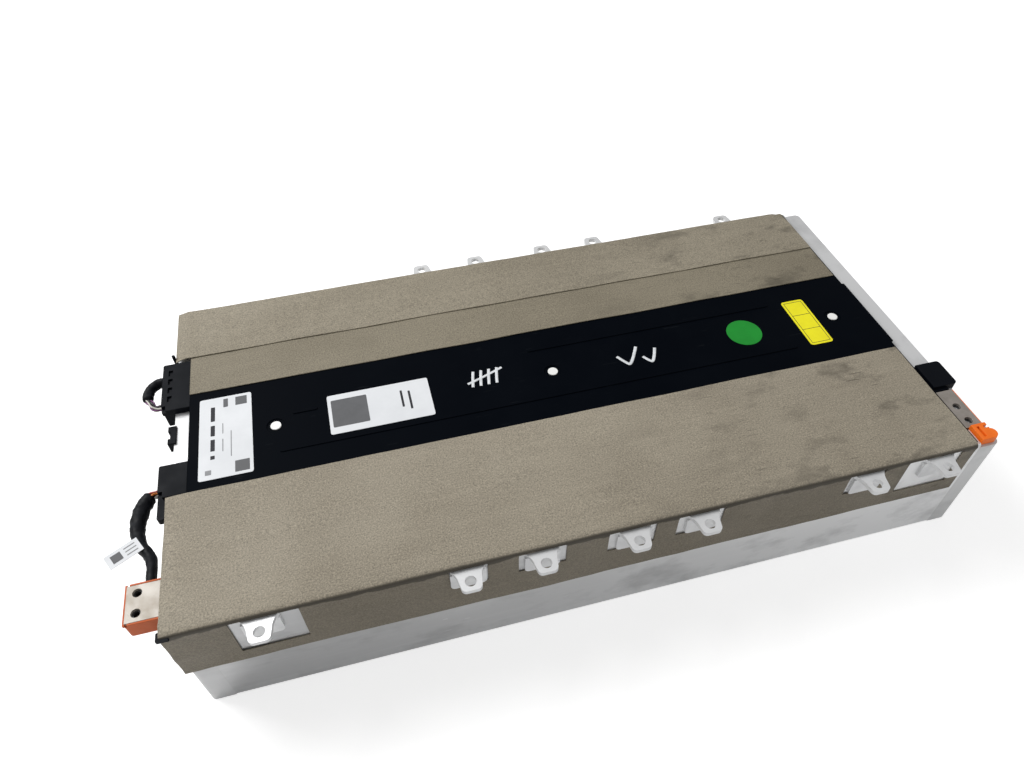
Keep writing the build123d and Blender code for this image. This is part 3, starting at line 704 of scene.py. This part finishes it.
# fields of the label at the end: their x and y in millimetres, and their ink
END_LABEL_FIELDS = (
    ((-312.3, -308.7), (-23, -19), INK), ((-312.3, -308.7), (-14, -1), INK),
    ((-312.3, -308.7), (3, 15), INK), ((-312.3, -308.7), (20, 37), INK),
    ((-302.4, -301.6), (-16, -2), PALE_INK), ((-302.4, -301.6), (4, 16), PALE_INK),
    ((-295.4, -294.6), (-23, 6), PALE_INK), ((-291, -281), (35, 45), PRINT),
    ((-292, -280), (-41, -29), PRINT), ((-316.5, -311.5), (-39, -34), PALE_INK),
    ((-301.5, -297.5), (35, 45), PRINT))
WIDE_LABEL_FIELDS = (((-146, -144), (-6, 14)), ((-139, -137), (-10, 12)))
YELLOW_RIM_X = (247.6, 266.9)
YELLOW_RIM_Y = (-27.6, 30.6)
YELLOW_BARS_Y = (-8.6, 11.4)
YELLOW_LINE = 0.5


def span(low, high):
    """Two places in millimetres, given in metres."""
    return low * MM, high * MM


def paper(name, x, y, corner, material):
    """Label or sticker on the cover; sizes in millimetres."""
    rounded_plate(name, span(*x), span(*y), COVER_TOP, LABEL, corner * MM, material)


def field(name, x, y, ink, corner=0.4):
    """Printed field on a label; sizes in millimetres."""
    rounded_plate(name, span(*x), span(*y), COVER_TOP + LABEL, PRINTED, corner * MM, ink)


def build_labels():
    """Plain labels and stickers, with fields of tone where a real one is printed."""
    paper("end_label", (-322, -277), (-44, 48), 2, PAPER)
    for i, (x, y, ink) in enumerate(END_LABEL_FIELDS):
        field(f"end_label_print_{i + 1}", x, y, ink)
    paper("wide_label", (-211, -119), (-22, 24), 2, PAPER)
    field("wide_label_block", (-208, -176), (-14.5, 17.5), PRINT, corner=1)
    for i, (x, y) in enumerate(WIDE_LABEL_FIELDS):
        field(f"wide_label_print_{i + 1}", x, y, INK)
    disc("round_sticker", 191 * MM, 3 * MM, COVER_TOP, 17.2 * MM, LABEL, GREEN)
    paper("yellow_sticker", (245.5, 269), (-30, 33), 3, YELLOW)
    left, right = YELLOW_RIM_X
    near, far = YELLOW_RIM_Y
    bars = [(YELLOW_RIM_X, (near, near + YELLOW_LINE)), (YELLOW_RIM_X, (far - YELLOW_LINE, far)),
            ((left, left + YELLOW_LINE), YELLOW_RIM_Y), ((right - YELLOW_LINE, right), YELLOW_RIM_Y)]
    bars += [(YELLOW_RIM_X, (y, y + YELLOW_LINE)) for y in YELLOW_BARS_Y]
    for i, (x, y) in enumerate(bars):
        field(f"yellow_sticker_line_{i + 1}", x, y, INK, corner=0.1)


PAINT_FLATNESS = 0.18               # height of a stroke against its width


def stroke(name, spots, width):
    """One stroke of a paint pen: a flat ribbon along a short curve; sizes in millimetres."""
    curve = bpy.data.curves.new(name, "CURVE")
    curve.dimensions = "3D"
    curve.bevel_depth = width * MM / 2
    curve.bevel_resolution = 2
    curve.use_fill_caps = True
    spline = curve.splines.new("NURBS")
    spline.points.add(len(spots) - 1)
    for point, (x, y) in zip(spline.points, spots):
        point.co = (x * MM, y * MM, 0, 1)
    spline.order_u = 3
    spline.use_endpoint_u = True
    obj = bpy.data.objects.new(name, curve)
    bpy.context.scene.collection.objects.link(obj)
    pick(obj)
    bpy.ops.object.convert(target="MESH")
    obj = bpy.context.object
    obj.scale = (1, 1, PAINT_FLATNESS)
    obj.location = (0, 0, COVER_TOP)
    return settle(obj, PAINT)


def build_marks():
    """Inspection ticks in white paint pen."""
    for i in range(4):
        x = -80 + i * 7.5
        stroke(f"tally_{i + 1}", ((x, 1), (x + 1.5, 10), (x + 4.0, 20)), 2.8)
    stroke("tally_bar", ((-84, 6), (-68, 11), (-49, 19)), 2.6)
    stroke("tick_1", ((60, 4), (66, -6), (70, -10), (82, 12)), 3.0)
    stroke("tick_2", ((84, -2), (88, -9), (92, -11), (99, 6)), 3.0)


# --- loops of wire at the left-hand end ---------------------------------------------------------

PATH_POINTS = 10                    # points between two given places of a path
LOOP_SIDES = 24
WIRE_SIDES = 10
TAPE_WRINKLE = 0.11
FRONT_WIRES_POINTS = 16             # the part of each path along which single wires show
REAR_WIRES_POINTS = 30
RED, AMBER, PALE, VIOLET, DARK = range(5)
FRONT_WIRES = (DARK, RED, AMBER, PALE, DARK, AMBER)
REAR_WIRES = (VIOLET, PALE, DARK, VIOLET, DARK, VIOLET, PALE)


def smooth_path(spots):
    """Even points along a soft curve through the given places (Catmull-Rom)."""
    spots = [Vector(spot) * MM for spot in spots]
    padded = [2 * spots[0] - spots[1]] + spots + [2 * spots[-1] - spots[-2]]
    path = []
    for a, b, c, d in zip(padded, padded[1:], padded[2:], padded[3:]):
        for i in range(PATH_POINTS):
            t = i / PATH_POINTS
            path.append(0.5 * (2 * b + (c - a) * t + (2 * a - 5 * b + 4 * c - d) * t ** 2
                               + (3 * b - a - 3 * c + d) * t ** 3))
    return path + [spots[-1]]


def heading_at(path, i):
    """Direction of a path at one of its points."""
    return (path[min(i + 1, len(path) - 1)] - path[max(i - 1, 0)]).normalized()


def tube(name, path, radius, material, sides, wrinkle=0.0):
    """Round cord along a path; radius is a function of the share of the way along."""
    mesh = bmesh.new()
    rings = []
    for i, place in enumerate(path):
        ahead = heading_at(path, i)
        first = ahead.cross(UP).normalized()
        second = first.cross(ahead).normalized()
        share = i / (len(path) - 1)
        ring = []
        for k in range(sides):
            turn = 2 * math.pi * k / sides
            out = first * math.cos(turn) + second * math.sin(turn)
            uneven = waver(place + out * 4 * MM, 260.0) + 0.6 * waver(place + out * 4 * MM, 620.0, 4.0)
            lap = 0.22 * math.sin(share * 70 + turn)
            ring.append(mesh.verts.new(place + out * radius(share) * (1 + wrinkle * (uneven + lap))))
        rings.append(ring)
    for low, high in zip(rings, rings[1:]):
        for k in range(sides):
            mesh.faces.new((low[k], low[(k + 1) % sides], high[(k + 1) % sides], high[k]))
    mesh.faces.new(list(reversed(rings[0])))
    mesh.faces.new(rings[-1])
    bmesh.ops.recalc_face_normals(mesh, faces=mesh.faces)
    obj = made_object(name, mesh)
    pick(obj)
    bpy.ops.object.shade_smooth_by_angle(angle=SOFT_SMOOTH_UNDER)
    return settle(obj, material)


def wires(prefix, path, tones, spread, radius):
    """Single wires of a bundle, lying round its middle line."""
    made = []
    for i, tone in enumerate(tones):
        turn = 2 * math.pi * i / len(tones)
        shifted = []
        for j, place in enumerate(path):
            fan = spread * (0.75 + 0.25 * math.sin(j * 0.5 + i))
            side = heading_at(path, j).cross(UP).normalized()
            shifted.append(place + (side * math.cos(turn) + UP * math.sin(turn)) * fan)
        made.append(tube(f"{prefix}_{i + 1}", shifted, lambda share: radius, WIRE_TONES[tone], WIRE_SIDES))
    return made


FLAG_HEADING = math.radians(209.5)
FLAG = 0.4 * MM                     # thickness of the flag
FLAG_PRINT = 0.1 * MM


def flag_piece(name, origin, along, across, lift, thickness, material):
    """Flat piece in the flag's own directions, in millimetres along it from the loop and across."""
    deselect()
    bpy.ops.mesh.primitive_cube_add(size=1)
    piece = bpy.context.object
    piece.name = name
    piece.scale = ((along[1] - along[0]) * MM, (across[1] - across[0]) * MM, thickness)
    ahead = Vector((math.cos(FLAG_HEADING), math.sin(FLAG_HEADING), 0))
    side = Vector((-math.sin(FLAG_HEADING), math.cos(FLAG_HEADING), 0))
    piece.location = (Vector(origin) * MM + ahead * (sum(along) / 2 * MM) + side * (sum(across) / 2 * MM)
                      + Vector((0, 0, lift + thickness / 2)))
    piece.rotation_euler = (0, 0, FLAG_HEADING)
    return settle(piece, material)


def build_flag(origin):
    """White flag of the front loop, with a printed block and three lines."""
    flag = flag_piece("front_flag", origin, (-3, 24), (-7, 7), 0.0, FLAG, PAPER)
    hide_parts("harness_flag")
    prints = [flag_piece("front_flag_block", origin, (12, 20), (-4, 4), FLAG, FLAG_PRINT, PRINT)]
    for i, middle in enumerate((-3.5, 0.0, 3.5)):
        prints.append(flag_piece(f"front_flag_line_{i + 1}", origin, (0, 9), (middle - 0.5, middle + 0.5),
                                 FLAG, FLAG_PRINT, PALE_INK))
    return [flag] + prints


def front_radius(share):
    """Thin core at the box, taped bundle beyond it, slimmer towards the terminal."""
    taped = min(1.0, max(0.0, (share - 0.13) / 0.04))
    fat = 1.0 * math.exp(-((share - 0.36) / 0.14) ** 2)
    return (2.4 + (3.6 + fat - 2.3 * share ** 1.5) * taped) * MM


def rear_radius(share):
    """Taped bundle at the box, thin core where its wires show."""
    taped = min(1.0, max(0.0, (0.60 - share) / 0.05))
    return (2.0 + 2.8 * taped) * MM


def build_loops():
    """Taped loops at the left-hand end, bare wires where they leave the boxes, and the flag."""
    box_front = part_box("connector_box_front")[0].x / MM
    box_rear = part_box("connector_box_rear")[0].x / MM
    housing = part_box("terminal_housing_left")[1].y / MM
    front_path = smooth_path(
        [(box_front, -36.0, 107.0), (box_front - 8, -36.0, 107.0), (box_front - 15, -44.0, 106.0),
         (box_front - 19, -57.0, 105.0), (box_front - 19, -71.0, 105.0), (box_front - 15, -84.0, 105.5),
         (box_front - 8, -95.0, 106.5), (box_front - 5, -107.0, 108.0), (box_front - 5, housing, 108.0)])
    rear_path = smooth_path(
        [(box_rear, 94.0, 108.0), (box_rear - 8, 94.0, 108.0), (box_rear - 15, 88.0, 108.0),
         (box_rear - 17, 78.0, 108.0), (box_rear - 14, 69.0, 108.0), (box_rear - 8, 62.0, 108.0),
         (box_rear, 61.0, 108.0)])
    front_sleeve = tube("front_sleeve", front_path, front_radius, TAPE, LOOP_SIDES, TAPE_WRINKLE)
    front_wires = wires("front_wire", front_path[:FRONT_WIRES_POINTS], FRONT_WIRES, 3.4 * MM, 1.0 * MM)
    rear_sleeve = tube("rear_sleeve", rear_path, rear_radius, TAPE, LOOP_SIDES, TAPE_WRINKLE)
    rear_wires = wires("rear_wire", rear_path[-REAR_WIRES_POINTS:], REAR_WIRES, 3.0 * MM, 0.8 * MM)
    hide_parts("harness_front")
    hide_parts("harness_rear")
    flag_pieces = build_flag((box_front - 16.7, -85.8, 111.4))


# --- camera, floor and lights -------------------------------------------------------------------

CAMERA_PLACE = (-0.1597, -0.4610, 0.6323)
CAMERA_FORWARD = (0.16536, 0.65721, -0.73535)
CAMERA_RIGHT = (0.96764, -0.25221, -0.00781)
CAMERA_LENS = 26.64
CAMERA_SENSOR = 36.0
FLOOR_TONE = 0.97
FLOOR_GLOW = 1.8
FLOOR_GLOW_SHARE = 0.32
WORLD_STRENGTH = 0.47


def build_camera():
    """View from the front left and above."""
    camera = bpy.data.cameras.new("view")
    camera.lens = CAMERA_LENS
    camera.sensor_width = CAMERA_SENSOR
    obj = bpy.data.objects.new("view", camera)
    bpy.context.scene.collection.objects.link(obj)
    forward = Vector(CAMERA_FORWARD).normalized()
    right = Vector(CAMERA_RIGHT).normalized()
    turn = Matrix((right, right.cross(forward), -forward)).transposed().to_4x4()
    obj.matrix_world = Matrix.Translation(CAMERA_PLACE) @ turn
    bpy.context.scene.camera = obj


def area_light(name, place, target, size, power):
    """Rectangular lamp at one place, turned to another."""
    light = bpy.data.lights.new(name, "AREA")
    light.shape = "RECTANGLE"
    light.size, light.size_y = size
    light.energy = power
    obj = bpy.data.objects.new(name, light)
    bpy.context.scene.collection.objects.link(obj)
    obj.location = place
    obj.rotation_euler = (Vector(target) - Vector(place)).to_track_quat("-Z", "Y").to_euler()


def shown_to_camera(tree, share, plain, shown, output):
    """Blend in a second shader, by the given share, only where the camera sees the surface itself."""
    path = tree.nodes.new("ShaderNodeLightPath")
    blend = tree.nodes.new("ShaderNodeMixShader")
    seen = math_node(tree, "MULTIPLY", path.outputs["Is Camera Ray"], share)
    tree.links.new(seen, blend.inputs[0])
    tree.links.new(plain.outputs[0], blend.inputs[1])
    tree.links.new(shown.outputs[0], blend.inputs[2])
    tree.links.new(blend.outputs[0], tree.nodes[output].inputs["Surface"])


def build_stage():
    """Pale floor, white world and two lamps."""
    deselect()
    bpy.ops.mesh.primitive_plane_add(size=8, location=(0, 0, 0))
    floor = bpy.context.object
    floor.name = "floor"
    material, tree, shader = new_material("pale_floor", (FLOOR_TONE,) * 3, roughness=0.8)
    shader.inputs["Specular IOR Level"].default_value = 0.0
    glow = tree.nodes.new("ShaderNodeEmission")
    glow.inputs["Color"].default_value = (1, 1, 1, 1)
    glow.inputs["Strength"].default_value = FLOOR_GLOW
    shown_to_camera(tree, FLOOR_GLOW_SHARE, shader, glow, "Material Output")
    floor.data.materials.append(material)
    world = bpy.data.worlds.new("studio")
    bpy.context.scene.world = world
    world.use_nodes = True
    tree = world.node_tree
    background = tree.nodes["Background"]
    background.inputs["Color"].default_value = (1, 1, 1, 1)
    background.inputs["Strength"].default_value = WORLD_STRENGTH
    white = tree.nodes.new("ShaderNodeBackground")
    white.inputs["Color"].default_value = (1, 1, 1, 1)
    shown_to_camera(tree, 1.0, background, white, "World Output")
    area_light("key", (-1.25, 1.0, 1.75), (0, 0, 0.05), (1.3, 1.0), power=46)
    area_light("fill", (1.4, -1.2, 1.4), (0.1, 0, 0.05), (1.6, 1.6), power=4)


# --- the object ---------------------------------------------------------------------------------

# sub-parts that are shown as they are, and their finishes
PLAIN_FINISHES = {
    "bottom_plate": PLATE, "side_plate_front": PLATE, "side_plate_rear": PLATE,
    "cell_separators": FILLER, "thermal_pad": FILLER, "busbar_tray": BLACK,
    "busbars_front": CREAM, "busbars_rear": CREAM, "sensing_strip": FILM, "terminal_nuts": STEEL,
}

# sub-part, the piece that stands for it, finish, slot, and how far its edges are eased in millimetres
EASED_PIECES = (
    ("end_plate_left", "left_end_plate", END, "plate_aluminium", 0.6),
    ("end_plate_right", "right_end_plate", END, "plate_aluminium", 0.6),
    ("centre_cover", "black_cover", COVER, "cover_plastic", 0.3),
    ("cover_rivets", "cover_rivet_heads", WHITE, "white_plastic", 0.3),
    ("connector_box_rear", "rear_connector_box", BLACK, "black_plastic", 0.5),
    ("connector_box_front", "front_connector_box", BLACK, "black_plastic", 0.5),
    ("right_end_cap", "end_cap", BLACK, "black_plastic", 0.8),
    ("end_clip", "edge_clip", BLACK, "black_plastic", 0.3),
    ("edge_stud", "stud", BLACK, "black_plastic", 0.2),
    ("terminal_bar_left", "left_terminal_bar", CREAM, "bar_metal", 0.3),
    ("terminal_bar_right", "right_terminal_bar", TINNED, "bar_metal", 0.3),
    ("terminal_housing_left", "left_terminal_housing", ORANGE_PAINTED_SHADE, "orange_plastic", 0.4),
    ("terminal_housing_right", "right_terminal_housing", ORANGE_RIGHT, "orange_plastic", 0.4),
)


def finish_nodes():
    """Put each plain finish on its sub-part, and the cell's film on every cell."""
    finishes = dict(PLAIN_FINISHES)
    for name in nodes:
        if name.startswith("cell_") and name != "cell_separators":
            finishes[name] = CELL
    for name, material in finishes.items():
        nodes[name].data.materials.clear()
        nodes[name].data.materials.append(material)


def build_pieces():
    """Ears, plates, mouldings and bars with their edges eased."""
    ears = [("front", i + 1) for i in range(FRONT_EARS)] + [("rear", i + 1) for i in range(REAR_EARS)]
    for side, number in ears:
        softened(f"mount_ear_{side}_{number}", f"{side}_ear_{number}", EAR, 0.5 * MM)
    for node, name, material, slot, ease in EASED_PIECES:
        softened(node, name, material, ease * MM)


def build_trim():
    """Rim at the left-hand bar's end and trim at the cloth's front left corner."""
    low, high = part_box("terminal_bar_left")
    rounded_plate("left_bar_rim", (low.x - 1.2 * MM, low.x + 0.3 * MM), (low.y - 1.4 * MM, high.y + 1.4 * MM),
                  high.z - 2.6 * MM, 2.4 * MM, 0.3 * MM, ORANGE_PAINTED_SHADE)
    rounded_plate("cloth_corner_trim", span(-349.2, -340), span(-177.4, -170), 117.4 * MM, 2.4 * MM,
                  1 * MM, BLACK)


bpy.context.scene.view_settings.view_transform = "Standard"
build_camera()
build_stage()
finish_nodes()
build_pieces()
front, rear, overlay = build_cloth()
build_labels()
build_marks()
build_trim()
build_loops()
